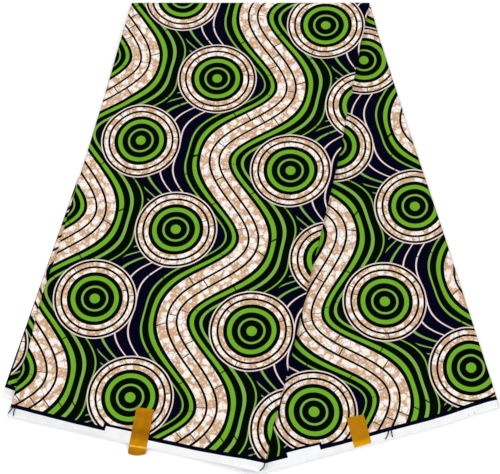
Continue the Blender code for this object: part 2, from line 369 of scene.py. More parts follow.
def only(piece):
    """Selects this piece alone, as the active one."""
    bpy.ops.object.select_all(action="DESELECT")
    piece.select_set(True)
    bpy.context.view_layer.objects.active = piece


def apply_modifier(piece, kind, **settings):
    only(piece)
    modifier = piece.modifiers.new(kind.title(), kind)
    for name, value in settings.items():
        setattr(modifier, name, value)
    bpy.ops.object.modifier_apply(modifier=modifier.name)


def grid_sheet(name, rows, finish, wall, shades):
    """A sheet through rows of (point, flat place) pairs, with its wall on the inner side.

    shades has the shade at each place of a row, from 0 to 1 where a fold turns away.
    """
    count = len(rows[0])
    points = [point for row in rows for point, _ in row]
    places = [place for row in rows for _, place in row]
    faces = [
        (r * count + c, r * count + c + 1, (r + 1) * count + c + 1, (r + 1) * count + c)
        for r in range(len(rows) - 1)
        for c in range(count - 1)
    ]
    piece = new_mesh_piece(name, points, faces, places, finish)
    shade = piece.data.attributes.new(SHADE_NAME, "FLOAT", "POINT")
    shade.data.foreach_set("value", shades * len(rows))
    apply_modifier(piece, "SOLIDIFY", thickness=wall, offset=-1.0)
    return piece


def join_pieces(pieces, name):
    only(pieces[0])
    for piece in pieces[1:]:
        piece.select_set(True)
    bpy.ops.object.join()
    pieces[0].name = pieces[0].data.name = name
    return pieces[0]


def fold_section():
    """Section of a stretch with both side folds: (across, depth below its top, flat overrun)."""
    columns = spread(SECTION_INSET, FOLD_WIDTH - SECTION_INSET, SECTION_STEPS)
    radius = FOLD_NOSE / 2
    left = [(RETURN, FOLD_NOSE, -RETURN - radius * math.pi)]
    for i in range(NOSE_STEPS + 1):
        angle = math.pi * i / NOSE_STEPS
        left.append((
            radius - radius * math.sin(angle),
            radius + radius * math.cos(angle),
            -radius * (math.pi - angle),
        ))
    right = [(FOLD_WIDTH - a, depth, -over) for a, depth, over in reversed(left)]
    return left + [(a, 0.0, 0.0) for a in columns] + right


def front_cloth(finish):
    """Top layer of the front half, round its side folds and down round the top fold."""
    section = fold_section()
    rows = []
    for station in spread(0.0, 1.0, ROWS_UP):
        row = []
        for across, depth, over in section:
            point = strip_point(across, station, depth - PANEL_RISE)
            point.z += relief(point.x, point.y) * smoothstep(1.0, CREASE_END, station)
            row.append((point, front_place(point, across, over)))
        rows.append(row)
    for turned in spread(0.0, WRAP_ANGLE, ROWS_ROUND)[1:]:
        row = []
        drawn_in = WRAP_DRAW * smoothstep(WRAP_DRAW_START, WRAP_ANGLE, turned)
        for across, depth, over in section:
            point = strip_point(across, 1.0 + turned / 180.0, depth - PANEL_RISE + drawn_in)
            unrolled = (TURN_RADIUS + PANEL_RISE) * math.radians(turned)
            flat = Vector((front_plan(across, 1.0)[0], TURN_Y + unrolled))
            row.append((point, front_place(flat, across, over)))
        rows.append(row)
    shades = [1.0 if across < FOLD_NOSE else 0.0 for across, _, _ in section]
    return grid_sheet("front_cloth", rows, finish, COTTON, shades)


def side_cloth(finish):
    """Top layer of the back half, round its side folds, tucked in under the front half."""
    section = fold_section()
    rows = []
    for share in spread(0.0, 1.0 - SIDE_STOP / HALF_LENGTH, ROWS_UP):
        row = []
        for across, depth, over in section:
            point = strip_point(across, 3.0 - share, STACK + PANEL_RISE - depth)
            open_cloth = smoothstep(0.0, OPEN_SPAN, point.x - front_plan(FOLD_WIDTH, share)[0])
            point.z += relief(point.x, point.y) * open_cloth
            row.append((point, side_place(point, across, over, share)))
        rows.append(row)
    shades = [1.0 if across > FOLD_WIDTH - FOLD_NOSE else 0.0 for across, _, _ in section]
    return grid_sheet("side_cloth", rows, finish, COTTON, shades)


def slab(name, columns, rows, edge, place, finish):
    """A thin closed body with a rounded edge.

    edge is a table of (height share, side inset, end inset). place(column, row, height, side
    inset, end inset) gives (point, flat place), with insets only at the rim.
    """
    points, places, faces, index = [], [], [], {}
    last_column, last_row, last_level = len(columns) - 1, len(rows) - 1, len(edge) - 1

    def at(i, j, k):
        if (i, j, k) not in index:
            index[i, j, k] = len(points)
            height, side, end = edge[k]
            inset = side if i == 0 else -side if i == last_column else 0.0
            stop = end if j == 0 else -end if j == last_row else 0.0
            point, flat = place(columns[i], rows[j], height, inset, stop)
            points.append(point)
            places.append(flat)
        return index[i, j, k]

    for i in range(last_column):
        for j in range(last_row):
            faces.append((at(i, j, last_level), at(i + 1, j, last_level),
                          at(i + 1, j + 1, last_level), at(i, j + 1, last_level)))
            faces.append((at(i, j, 0), at(i, j + 1, 0), at(i + 1, j + 1, 0), at(i + 1, j, 0)))
    for k in range(last_level):
        for i in range(last_column):
            faces.append((at(i, 0, k), at(i + 1, 0, k), at(i + 1, 0, k + 1), at(i, 0, k + 1)))
            faces.append((at(i, last_row, k), at(i, last_row, k + 1),
                          at(i + 1, last_row, k + 1), at(i + 1, last_row, k)))
        for j in range(last_row):
            faces.append((at(0, j, k), at(0, j, k + 1), at(0, j + 1, k + 1), at(0, j + 1, k)))
            faces.append((at(last_column, j, k), at(last_column, j + 1, k),
                          at(last_column, j + 1, k + 1), at(last_column, j, k + 1)))
    return new_mesh_piece(name, points, faces, places, finish)


PLY_EDGE = [
    # (height share, side inset, foot inset)
    (0.00, 0.40 * PLY, 0.05 * mm),
    (0.14, 0.14 * PLY, 0.0),
    (0.34, 0.02 * PLY, 0.0),
    (0.46, 0.0, 0.0),
    (0.50, 0.0, 0.30 * mm),
    (0.54, 0.0, 0.35 * mm),
    (0.66, 0.02 * PLY, 0.35 * mm),
    (0.86, 0.14 * PLY, 0.35 * mm),
    (1.00, 0.40 * PLY, 0.40 * mm),
]

PLY_COLUMNS = spread(PLY_INSET, FOLD_WIDTH - PLY_INSET, PLY_STEPS)


def hidden_pair(number, finish):
    """One folded pair of hidden layers, from the front foot round the top fold to the back foot."""
    side, front_foot, back_foot, start = PLIES[number]
    columns = [side] + PLY_COLUMNS + [FOLD_WIDTH - side]
    stations = spread(0.0, 1.0, PLY_ROWS_UP)
    stations += spread(1.0, 2.0, PLY_ROWS_ROUND)[1:] + spread(2.0, 3.0, PLY_ROWS_UP)[1:]
    top_depth = number * PLY_PITCH

    def place(across, station, height, inset, stop):
        """Height 0 is the inner face and 1 the outer one."""
        if station == 0.0:
            station = (front_foot + stop) / HALF_LENGTH
        elif station == 3.0:
            station = 3.0 - (back_foot - stop) / HALF_LENGTH
        turned = smoothstep(1.0, 2.0, station)
        if across in (columns[0], columns[-1]):
            inset += PLY_WANDER * noise.noise(Vector((station * WANDER_SWINGS, number * WANDER_SHIFT, 1.0)))
        if number in SHORT_PAIRS and LEAF_ROOM_FOOT < station < LEAF_ROOM_HEAD:
            across += LEAF_ROOM * max(0.0, 1.0 - across / LEAF_ROOM_SPAN)
        across += inset
        depth = top_depth + PLY * (1.0 - height) - PLY_LIFT * (1.0 - turned)
        point = strip_point(across, station, depth)
        up = station if station <= 1.5 else 3.0 - station
        return point, (start + across, up * HALF_LENGTH)

    return slab("pair", columns, stations, PLY_EDGE, place, finish)


def inner_layers(finish):
    """Every hidden layer, and the single layer between the front cloth's turned-back edges."""
    pieces = [hidden_pair(number, finish) for number in range(len(PLIES))]
    inside = RETURN + SINGLE_INSET

    def set_back(share, stop):
        """The share up from the foot, with the foot's own edge set back under the stretch."""
        return share + (stop + SINGLE_INSET) / HALF_LENGTH if share == 0.0 else share

    def under_front(across, share, height, inset, stop):
        share = set_back(share, stop)
        point = strip_point(across + inset, share, -PLY_LIFT - SINGLE_GAP - SINGLE * height)
        return point, (UNDER_FRONT_START + across, share * HALF_LENGTH)

    def under_side(across, share, height, inset, stop):
        share = set_back(share, stop)
        depth = STACK + PLY_LIFT + SINGLE_GAP + SINGLE * height
        point = strip_point(across + inset, 3.0 - share, depth)
        return point, (UNDER_SIDE_START + across, share * HALF_LENGTH)

    columns = [inside] + PLY_COLUMNS[1:-1] + [FOLD_WIDTH - inside]
    for end, place in ((1.0, under_front), (SINGLE_END, under_side)):
        pieces.append(slab("single", columns, spread(0.0, end, PLY_ROWS_UP), PLY_EDGE, place, finish))
    return join_pieces(pieces, "inner_layers")


def lower_leaf(finish):
    """The lower leaf at the left: two folded pairs that lie on the surface."""
    run = Vector(LEAF_HEAD) - Vector(LEAF_FOOT)
    length = run.length
    up = run / length
    fall = math.tan(math.radians(LEAF_FOOT_FALL))

    def inner_edge(share):
        y = lerp(LEAF_FOOT[1], LEAF_HEAD[1], share)
        foot_y, top_y = FRONT["foot_left"][1], FRONT["top_left"][1]
        return front_plan(LEAF_TUCK, (y - foot_y) / (top_y - foot_y))[0]

    pieces = []
    for base, back_set, foot_set, start in (
        # (height, share of the fold's set-back, how far the foot is set back, print's start from the leaf's)
        (0.0, 0.0, 2.0 * mm, UNDER_LEAF_START - LEAF_START),
        (LEAF_PLY + LEAF_GAP, 1.0, 1.2 * mm, 0.0),
    ):

        def place(side, share, height, inset, stop):
            share += (stop + (foot_set if share < 0.5 else -foot_set if share > 0.99 else 0.0)) / length
            edge = Vector(LEAF_FOOT) + up * length * share
            width = inner_edge(min(1.0, max(0.0, share))) - edge.x
            across = lerp(back_set * read_table(LEAF_SET_BACK, share), width, side) + inset
            point = Vector((edge.x + across, edge.y - across * fall, base + LEAF_PLY * height))
            return point, (LEAF_START + start + across, length * share - LEAF_BORDER_RISE)

        pieces.append(slab("leaf", LEAF_STEPS, spread(0.0, 1.0, LEAF_ROWS_UP), PLY_EDGE, place, finish))
    return join_pieces(pieces, "lower_leaf")


# Finishes

def srgb(red, green, blue):
    """Linear colour of an 8-bit display colour."""
    shares = [c / 255.0 for c in (red, green, blue)]
    return tuple(s / 12.92 if s <= 0.04045 else ((s + 0.055) / 1.055) ** 2.4 for s in shares)


class Value:
    """A shader socket that Python sums act on."""

    def __init__(self, finish, socket):
        self.finish, self.socket = finish, socket

    def maths(self, operation, *terms):
        return self.finish.node("ShaderNodeMath", {"operation": operation}, dict(enumerate(terms)))

    def __add__(self, other):
        return self.maths("ADD", self, other)

    def __sub__(self, other):
        return self.maths("SUBTRACT", self, other)

    def __rsub__(self, other):
        return self.maths("SUBTRACT", other, self)

    def __mul__(self, other):
        return self.maths("MULTIPLY", self, other)

    def __truediv__(self, other):
        return self.maths("DIVIDE", self, other)

    def __rtruediv__(self, other):
        return self.maths("DIVIDE", other, self)

    def __mod__(self, other):
        return self.maths("FLOORED_MODULO", self, other)

    def __gt__(self, other):
        return self.maths("GREATER_THAN", self, other)

    def __lt__(self, other):
        return self.maths("LESS_THAN", self, other)

    def __abs__(self):
        return self.maths("ABSOLUTE", self)

    __radd__, __rmul__ = __add__, __mul__

    def sine(self):
        return self.maths("SINE", self)

    def cosine(self):
        return self.maths("COSINE", self)

    def root(self):
        return self.maths("SQRT", self)

    def floor(self):
        return self.maths("FLOOR", self)

    def least(self, other):
        return self.maths("MINIMUM", self, other)

    def towards(self, other, share):
        return self + (other - self) * share

    def eased(self, low, high):
        """0 at low and 1 at high, rounded between. low may be the larger one."""
        settings = {"interpolation_type": "SMOOTHSTEP"}
        return self.finish.node("ShaderNodeMapRange", settings, {0: self, 1: low, 2: high, 3: 0.0, 4: 1.0})


class Finish:
    """A material whose nodes come from Python expressions."""

    def __init__(self, name, **constants):
        self.material = bpy.data.materials.new(name)
        self.material.use_nodes = True
        self.tree = self.material.node_tree
        self.shader = self.tree.nodes["Principled BSDF"]
        for socket, value in constants.items():
            self.shader.inputs[socket.replace("_", " ")].default_value = value

    def node(self, kind, settings=None, sockets=None, output=0):
        """A new node's output. Settings are set first, then the sockets' values or links."""
        made = self.tree.nodes.new(kind)
        for name, value in (settings or {}).items():
            if name == "stops":
                self.set_stops(made.color_ramp, value)
            else:
                setattr(made, name, value)
        for name, value in (sockets or {}).items():
            self.fill(made.inputs[name], value)
        return Value(self, made.outputs[output])

    def set_stops(self, ramp, stops):
        ramp.interpolation = "CONSTANT"
        while len(ramp.elements) > 1:
            ramp.elements.remove(ramp.elements[-1])
        ramp.elements[0].position = stops[0][0]
        ramp.elements[0].color = stops[0][1]
        for position, colour in stops[1:]:
            ramp.elements.new(position).color = colour

    def fill(self, socket, value):
        if isinstance(value, Value):
            self.tree.links.new(value.socket, socket)
        elif socket.type == "RGBA":
            socket.default_value = (*value, 1.0)
        else:
            socket.default_value = value

    def mix(self, share, start, end):
        return self.node("ShaderNodeMix", {"data_type": "RGBA"}, {0: share, 6: start, 7: end}, output=2)

    def clouds(self, place, scale, detail=2.0, output="Fac"):
        """Flat noise over the cloth or a label."""
        sockets = {"Vector": place, "Scale": scale, "Detail": detail}
        return self.node("ShaderNodeTexNoise", {"noise_dimensions": "2D"}, sockets, output)

    def cells(self, place, scale, feature="F1"):
        """Distance from the middles of flat cells, or from their edges."""
        settings = {"voronoi_dimensions": "2D", "feature": feature}
        return self.node("ShaderNodeTexVoronoi", settings, {"Vector": place, "Scale": scale})

    def join(self, x, y):
        return self.node("ShaderNodeCombineXYZ", {}, {0: x, 1: y})

    def vary(self, colour, factor):
        """A colour made lighter or darker by a factor."""
        return self.node("ShaderNodeVectorMath", {"operation": "SCALE"}, {0: colour, "Scale": factor})

    def bump(self, height, strength, distance):
        return self.node("ShaderNodeBump", {}, {"Strength": strength, "Distance": distance, "Height": height})

    def wear(self, **looks):
        """Puts values on the shader's own sockets."""
        for name, value in looks.items():
            self.fill(self.shader.inputs[name.replace("_", " ")], value)
        return self.material


# Colours of the print
LIME = srgb(110, 167, 43)
MOSS = srgb(122, 168, 74)
BLACK = srgb(0, 8, 0)
NAVY = srgb(1, 1, 22)
ROSE = srgb(229, 208, 206)
BEIGE = srgb(203, 161, 125)
TAN = srgb(207, 166, 143)
SAND = srgb(205, 174, 134)
CREAM = srgb(234, 214, 196)
MILK = srgb(244, 235, 234)
IVORY = srgb(248, 236, 218)
CRACK = srgb(148, 134, 120)
SELVEDGE = srgb(241, 242, 243)
WAXED = None                # in a table: the crackled beige and white ground

# Painted reflection and highlights of the foil, by the distance down each label
LEFT_FOIL_PAINTED_LIGHT = [
    (0.0 * mm, srgb(178, 122, 4)), (7.0 * mm, srgb(166, 108, 2)), (13.0 * mm, srgb(173, 115, 2)),
    (20.0 * mm, srgb(168, 111, 1)), (29.0 * mm, srgb(151, 94, 0)), (34.0 * mm, srgb(160, 105, 0)),
    # The brightest tone, at 45.5 mm, is a painted glint on the crease where the flap starts to bend down
    (39.0 * mm, srgb(184, 124, 0)), (44.2 * mm, srgb(192, 130, 2)), (45.5 * mm, srgb(246, 200, 84)),
    (46.8 * mm, srgb(192, 128, 4)), (53.0 * mm, srgb(172, 114, 8)),
]
RIGHT_FOIL_PAINTED_LIGHT = [
    (0.0 * mm, srgb(172, 128, 6)), (7.0 * mm, srgb(186, 123, 4)), (27.0 * mm, srgb(180, 124, 3)),
    # The brighter tones towards the end are a painted highlight
    (30.5 * mm, srgb(210, 150, 2)), (34.0 * mm, srgb(224, 163, 4)),
]

FOIL_SCALE = 130.0          # clouds a metre
FOIL_LIGHT = 0.86
FOIL_GRAIN_SCALE = 900.0
FOIL_GRAIN = 0.25
FOIL_ROUGHNESS = 0.34
CLOUD_ROUGHNESS = 0.16

THREAD_DARK = srgb(4, 6, 22)
THREAD_PALE = srgb(30, 32, 48)
THREAD_TWIST = 2400.0       # clouds a metre
FLOOR_WHITE = srgb(252, 252, 252)
FLOOR_SCALE = 2.0
FLOOR_TONE = 0.02
FLOOR_LIGHT = 0.99

# Layout of the print, which repeats along and up the cloth
REPEAT = 190.0 * mm         # from one wave ribbon to the next
RISE = 214.0 * mm           # one wave up the cloth
SWAY = 36.0 * mm            # a ribbon's swing to each side
SIDE_START = 0.42           # where the side cloth's left fold is along the cloth
LEAF_START = 0.93
UNDER_LEAF_START = 1.23     # the leaf's lower pair
UNDER_FRONT_START = 4.8     # the single layers under the two stretches
UNDER_SIDE_START = 5.1
LEAF_FOLD_SHADE_WIDTH = 3.0 * mm      # painted shade: a dark navy stripe that runs along that pair's fold
STRIPES_REACH = 50.0 * mm   # how far a ribbon's right-hand stripes reach from its middle

RIBBON_SPAN = 130.0 * mm    # the distance that its colours are given for
RIGHT_OF_RIBBON = [
    # (up to this distance from the ribbon's middle, colour)
    (4.4 * mm, WAXED), (6.9 * mm, BLACK), (17.0 * mm, WAXED), (21.2 * mm, BLACK), (26.2 * mm, LIME),
    (33.0 * mm, BLACK), (36.3 * mm, MOSS), (44.4 * mm, BLACK), (46.1 * mm, MOSS), (RIBBON_SPAN, BLACK),
]
LEFT_OF_RIBBON = [
    (4.4 * mm, WAXED), (6.9 * mm, BLACK), (17.0 * mm, WAXED), (21.0 * mm, BLACK), (25.5 * mm, LIME),
    (32.4 * mm, BLACK), (34.4 * mm, MOSS), (44.8 * mm, NAVY), (46.5 * mm, ROSE), (57.0 * mm, NAVY),
    (58.7 * mm, ROSE), (69.0 * mm, NAVY), (71.2 * mm, MOSS), (81.0 * mm, NAVY), (83.2 * mm, MOSS),
    (93.0 * mm, NAVY), (95.2 * mm, MOSS), (105.0 * mm, NAVY), (106.8 * mm, ROSE), (RIBBON_SPAN, NAVY),
]
BAND = 11.6 * mm            # a band of the ribbon, for its ticks
TICK_STEP = 46.0 * mm       # from one tick to the next along a band
TICK_SHIFT = 37.0 * mm      # how far a band's ticks are shifted from the next band's
TICK_HALF = 0.011           # half a tick's width, as a share of the step
TICKS_LEFT_OUT = 0.35
TICK_DARK = 0.9
ROUNDEL_SPAN = 60.0 * mm
ROUNDEL_RADIUS = 50.0 * mm  # of a medallion, with its thin rim
ROUNDEL = [
    (6.0 * mm, LIME), (13.4 * mm, BLACK), (16.0 * mm, MOSS), (23.2 * mm, BLACK), (28.4 * mm, LIME),
    (33.2 * mm, BLACK), (38.3 * mm, WAXED), (40.9 * mm, BLACK), (45.9 * mm, WAXED), (48.4 * mm, BLACK),
    (ROUNDEL_SPAN, ROSE),
]
RING_LINE = 39.6 * mm       # between its two crackled rings
RING_TICK_STEP = 2.1        # radians from one tick to the next
RING_TICK_SHIFT = 1.9       # how far the outer ring's are turned from the inner one's
RING_TICK_HALF = 0.5 * mm

# The crackled ground. A scale is in cells or clouds a metre. An edge has the value at which a look
# sets in and the value at which it is full
ROUGH_SCALE = 150.0
ROUGH_SHIFT = 3.2 * mm
DRIFT_SCALE = 42.0
BUBBLE_SCALE = 92.0
BUBBLE_DRIFT = 0.56
BUBBLE_EDGE = (0.195, 0.03)
SPECK_SCALE = 215.0
SPECK_DRIFT = 0.30
SPECK_EDGE = (0.19, 0.05)
CRACK_SCALE = 118.0
CRACK_EDGE = (0.060, 0.012)
CRACK_PLACES = (0.40, 0.54)
CRACK_DARK = 0.7
TONE_SCALE = 120.0
TAN_EDGE = (0.48, 0.38)
SAND_EDGE = (0.52, 0.64)
IVORY_EDGE = (0.46, 0.60)

# The cloth itself: shares of its light that the weave, the fibres and the fading take or give
WEAVE_PITCH = 0.62 * mm
WEAVE_TONE = 0.03
FIBRE_SCALE = 700.0
FIBRE_TONE = 0.09
FADE_SCALE = 85.0
FADE_TONE = 0.12
LEAST_TONE = 0.78
FOLD_SHADE = 0.28           # light lost at the rim of an outermost side fold
WEAVE_HEIGHT = 0.5
COTTON_ROUGHNESS = 0.74
WAX_SHINE = 0.10
FIBRE_ROUGHNESS = 0.08

# The plain edge of the cloth
BORDER_FOOT = 9.1 * mm
BORDER_WIDTH = 4.5 * mm
BORDER_SIDE = 3.0 * mm
SELVEDGE_SCALE = 30.0
SELVEDGE_TONE = 0.05
SELVEDGE_LIGHT = 0.965
PAINTED_LIGHT_SPAN = 3.5 * mm        # painted light along the selvedge's very edge, which makes it the brightest part
PAINTED_FOOT_LIGHT = 0.13
GREYER_FADE = 30.0 * mm
NOTCHES = [
    # (start, end, rise of the border's lower edge, rise of its upper edge), along the cloth
    (113 * mm, 161 * mm, 5.6 * mm, 4.1 * mm),
    (SIDE_START + 48 * mm, SIDE_START + 86 * mm, 5.7 * mm, 4.2 * mm),
]
# Greyer stretches of the selvedge
GREYER = [
    # (start, end, share of the light lost), along the cloth
    (-15 * mm, 120 * mm, 0.060),
    (LEAF_START - 15 * mm, LEAF_START + 90 * mm, 0.075),
]
# Pin holes left in the selvedge, in plan
PIN_HOLES = [(249.2 * mm, -243.5 * mm), (256.2 * mm, -241.5 * mm)]
PIN_HOLE = 0.85 * mm
PIN_HOLE_DARK = 0.75


def banded(finish, distance, span, table):
    """(colour, share of crackled ground) of stripes by a distance."""
    starts = [0.0] + [edge / span for edge, _ in table[:-1]]
    stops = [
        (start, (*(colour or BEIGE), 1.0 if colour is WAXED else 0.0))
        for start, (_, colour) in zip(starts, table)
    ]
    share = distance / span
    colour = finish.node("ShaderNodeValToRGB", {"stops": stops}, {0: share})
    ramp = colour.socket.node
    return colour, Value(finish, ramp.outputs["Alpha"])


def wave_ribbons(cotton, u, v):
    """Bands that follow wave ribbons up the cloth: (colour, share of crackled ground, ticks)."""
    turn = v * (2 * math.pi / RISE)
    lean = turn.cosine() * (SWAY * 2 * math.pi / RISE)
    stretch = (lean * lean + 1.0).root()
    beyond = (u - turn.sine() * SWAY) % REPEAT
    right_of = beyond / stretch
    left_of = (REPEAT - beyond) / stretch
    right_colour, right_wax = banded(cotton, right_of, RIBBON_SPAN, RIGHT_OF_RIBBON)
    left_colour, left_wax = banded(cotton, left_of, RIBBON_SPAN, LEFT_OF_RIBBON)
    on_left = right_of > STRIPES_REACH
    colour = cotton.mix(on_left, right_colour, left_colour)
    wax = right_wax.towards(left_wax, on_left)

    across = right_of.towards(0.0 - left_of, on_left)
    run = v + across * lean / stretch
    band = (across / BAND + 0.5).floor()
    step = (run + band * TICK_SHIFT) / TICK_STEP
    chance = cotton.node("ShaderNodeTexWhiteNoise", {"noise_dimensions": "2D"},
                         {"Vector": cotton.join(band, step.floor())})
    tick = (abs(step % 1.0 - 0.5) < TICK_HALF) * (chance > TICKS_LEFT_OUT)
    return colour, wax, tick


def medallions(cotton, u, v):
    """Round medallions in the ribbons' bends: (colour, crackled ground, ticks, where they are)."""
    radius = aside = above = None
    for sign in (1.0, -1.0):
        right = (u - (REPEAT / 2 + sign * SWAY) + REPEAT / 2) % REPEAT - REPEAT / 2
        up = (v - (RISE / 2 - sign * RISE / 4) + RISE / 2) % RISE - RISE / 2
        found = (right * right + up * up).root()
        if radius is None:
            radius, aside, above = found, right, up
        else:
            nearer = found < radius
            radius = radius.least(found)
            aside, above = aside.towards(right, nearer), above.towards(up, nearer)
    colour, wax = banded(cotton, radius, ROUNDEL_SPAN, ROUNDEL)
    angle = aside.maths("ARCTAN2", aside, above)
    part = (angle + (radius > RING_LINE) * RING_TICK_SHIFT) % RING_TICK_STEP - RING_TICK_STEP / 2
    tick = (abs(part) * radius < RING_TICK_HALF) * wax
    return colour, wax, tick, radius < ROUNDEL_RADIUS


def waxed_ground(cotton, place):
    """Beige of three tones with pale wax bubbles of two sizes, and hair cracks."""
    shift = cotton.vary(cotton.clouds(place, ROUGH_SCALE, detail=1.0, output="Color"), ROUGH_SHIFT)
    rough_place = cotton.node("ShaderNodeVectorMath", {"operation": "ADD"}, {0: place, 1: shift})
    drift = cotton.clouds(place, DRIFT_SCALE)
    bubble = (cotton.cells(rough_place, BUBBLE_SCALE) - drift * BUBBLE_DRIFT).eased(*BUBBLE_EDGE)
    speck = (cotton.cells(rough_place, SPECK_SCALE) - drift * SPECK_DRIFT).eased(*SPECK_EDGE)
    crack = cotton.cells(rough_place, CRACK_SCALE, "DISTANCE_TO_EDGE")
    cracked = crack.eased(*CRACK_EDGE) * drift.eased(*CRACK_PLACES)
    tone = cotton.clouds(place, TONE_SCALE, detail=1.0)
    beige = cotton.mix(tone.eased(*SAND_EDGE), cotton.mix(tone.eased(*TAN_EDGE), BEIGE, TAN), SAND)
    white = cotton.mix(tone.eased(*IVORY_EDGE), MILK, IVORY)
    ground = cotton.mix(bubble, cotton.mix(speck, beige, CREAM), white)
    return cotton.mix(cracked * CRACK_DARK, ground, CRACK)


def plain_edge(cotton, u, v, place, colour):
    """The dark border with its notches, and the bare selvedge below it."""
    lower = upper = v
    for start, end, lower_rise, upper_rise in NOTCHES:
        lower = lower - (u > start) * (u < end) * lower_rise
        upper = upper - (u > start - BORDER_SIDE) * (u < end + BORDER_SIDE) * upper_rise
    colour = cotton.mix(upper < BORDER_FOOT + BORDER_WIDTH, colour, NAVY)
    brightness = cotton.clouds(place, SELVEDGE_SCALE, detail=3.0) * SELVEDGE_TONE + SELVEDGE_LIGHT
    # Painted light: the selvedge is made brighter towards its very edge at the foot
    brightness = brightness + v.eased(PAINTED_LIGHT_SPAN, 0.0) * PAINTED_FOOT_LIGHT
    for start, end, loss in GREYER:
        brightness = brightness - (u > start) * u.eased(end + GREYER_FADE, end - GREYER_FADE) * loss
    colour = cotton.mix(lower < BORDER_FOOT, colour, cotton.vary(SELVEDGE, brightness))
    for hole in PIN_HOLES:
        hole_u, hole_v = flat_place(BACK, hole, SIDE_START)
        aside, above = u - hole_u, v - hole_v
        away = (aside * aside + above * above).root()
        colour = cotton.mix(away.eased(PIN_HOLE, PIN_HOLE / 2) * PIN_HOLE_DARK, colour, BLACK)
    return colour


def printed_cotton():
    """Cotton printed through on both sides: wave ribbons, stripes and round medallions."""
    cotton = Finish("printed_cotton", Specular_IOR_Level=0.02)
    place = cotton.node("ShaderNodeUVMap", {"uv_map": UV_NAME})
    u = cotton.node("ShaderNodeSeparateXYZ", {}, {0: place}, output="X")
    v = cotton.node("ShaderNodeSeparateXYZ", {}, {0: place}, output="Y")

    colour, wax, tick = wave_ribbons(cotton, u, v)
    ring_colour, ring_wax, ring_tick, in_ring = medallions(cotton, u, v)
    colour = cotton.mix(in_ring, colour, ring_colour)
    wax = wax.towards(ring_wax, in_ring)
    tick = tick.towards(ring_tick, in_ring)
    colour = cotton.mix(wax, colour, waxed_ground(cotton, place))
    colour = cotton.mix(tick * TICK_DARK, colour, BLACK)
    # Painted shade: the leaf's lower pair is coloured navy along its fold
    painted_fold_shade = abs(u - UNDER_LEAF_START) < LEAF_FOLD_SHADE_WIDTH
    colour = cotton.mix(painted_fold_shade, colour, NAVY)
    colour = plain_edge(cotton, u, v, place, colour)

    thread = 2 * math.pi / WEAVE_PITCH
    weave = (u * thread).sine() * (v * thread).sine()
    fibres = cotton.clouds(place, FIBRE_SCALE)
    faded = cotton.clouds(place, FADE_SCALE, detail=3.0)
    tone = weave * WEAVE_TONE + fibres * FIBRE_TONE + faded * FADE_TONE + LEAST_TONE
    shade = cotton.node("ShaderNodeAttribute", {"attribute_name": SHADE_NAME}, {}, output="Fac")
    colour = cotton.vary(colour, tone * (1.0 - shade * shade * FOLD_SHADE))
    normal = cotton.bump(weave * WEAVE_HEIGHT + fibres, strength=0.35, distance=0.08 * mm)
    roughness = COTTON_ROUGHNESS - wax * WAX_SHINE + fibres * FIBRE_ROUGHNESS
    return cotton.wear(Base_Color=colour, Roughness=roughness, Normal=normal)


def gold_foil(name, stops, unevenness):
    """Gold foil, with painted reflection and highlights along its length in the label's own UV."""
    foil = Finish(name, Metallic=0.85, Specular_IOR_Level=0.2)
    place = foil.node("ShaderNodeUVMap", {"uv_map": UV_NAME})
    along = foil.node("ShaderNodeSeparateXYZ", {}, {0: place}, output="Y")
    colour = None
    # The stops are painted reflection and highlights, blended down the label
    for (low, start), (high, end) in zip(stops, stops[1:]):
        colour = start if colour is None else colour
        colour = foil.mix(along.eased(low, high), colour, end)
    cloudy = foil.clouds(place, FOIL_SCALE, detail=4.0)
    colour = foil.vary(colour, (cloudy - 0.5) * unevenness + FOIL_LIGHT)
    grain = foil.clouds(place, FOIL_GRAIN_SCALE) * FOIL_GRAIN
    normal = foil.bump(cloudy + grain, strength=0.25, distance=0.25 * mm)
    roughness = cloudy * CLOUD_ROUGHNESS + FOIL_ROUGHNESS
    return foil.wear(Base_Color=colour, Roughness=roughness, Normal=normal)


def dark_thread():
    thread = Finish("loose_thread", Roughness=0.85, Specular_IOR_Level=0.1)
    place = thread.node("ShaderNodeTexCoord", {}, {}, output="Object")
    twist = thread.node("ShaderNodeTexNoise", {}, {"Vector": place, "Scale": THREAD_TWIST, "Detail": 2.0})
    colour = thread.mix(twist, THREAD_DARK, THREAD_PALE)
    return thread.wear(Base_Color=colour, Normal=thread.bump(twist, strength=0.4, distance=0.1 * mm))


def studio_floor():
    floor = Finish("studio_floor", Roughness=0.9, Specular_IOR_Level=0.1)
    place = floor.node("ShaderNodeTexCoord", {}, {}, output="Object")
    cloud = floor.node("ShaderNodeTexNoise", {}, {"Vector": place, "Scale": FLOOR_SCALE, "Detail": 2.0})
    return floor.wear(Base_Color=floor.vary(FLOOR_WHITE, FLOOR_LIGHT + cloud * FLOOR_TONE))


# Labels and threads

def front_top(x, y):
    return front_base(x, y) + STACK + PANEL_RISE + relief(x, y)


def side_top(x, y):
    return SIDE_TOP + relief(x, y)


CUT_START = 0.87            # share down a label where its cut starts to shape it
LABEL_LIFT = 0.40 * mm      # from the cloth to the top of a label
LABEL_WALL = 0.22 * mm
LABEL_BEVEL = 0.06 * mm
LABEL_CURL = 0.25 * mm      # rise of its top corners
LABEL_CURL_SPAN = 9.0 * mm
LABEL_SMOOTH = 40.0         # degrees, above which an edge is sharp


def cut_line(aside, left, middle, right):
    """How much longer a label is at this place across it, from -1 to 1."""
    return middle + (right - left) / 2 * aside + ((left + right) / 2 - middle) * aside * aside


